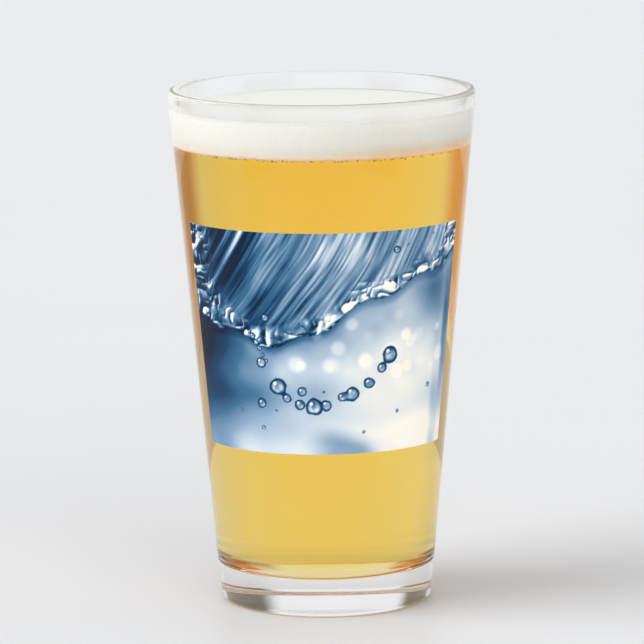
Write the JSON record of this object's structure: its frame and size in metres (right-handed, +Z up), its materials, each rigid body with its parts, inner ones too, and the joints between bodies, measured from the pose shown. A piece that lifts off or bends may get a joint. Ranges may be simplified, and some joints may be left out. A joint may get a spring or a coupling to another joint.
{
  "type": "pint glass",
  "caption": "Tapered clear pint glass with a rounded lip, thick floor and wrapped rectangular print, filled with beer under a foam head.",
  "frame": {"origin": "centre of the base, on the plane it stands on", "axes": "+Z up along the glass's axis, towards the rim; the middle of the print faces -Y; +X is to the right of the print as it is read"},
  "size_m": [0.0888, 0.0888, 0.1492],
  "materials": {
    "clear_glass": "gloss",
    "white_ink": "satin",
    "colour_ink": "satin",
    "beer": "gloss",
    "foam": "matte"
  },
  "bodies": {
    "root": {"glass_body": "clear_glass", "print_white_base": "white_ink", "print_colour_layer": "colour_ink", "beer": "beer", "foam_head": "foam"}
  },
  "joints": []
}
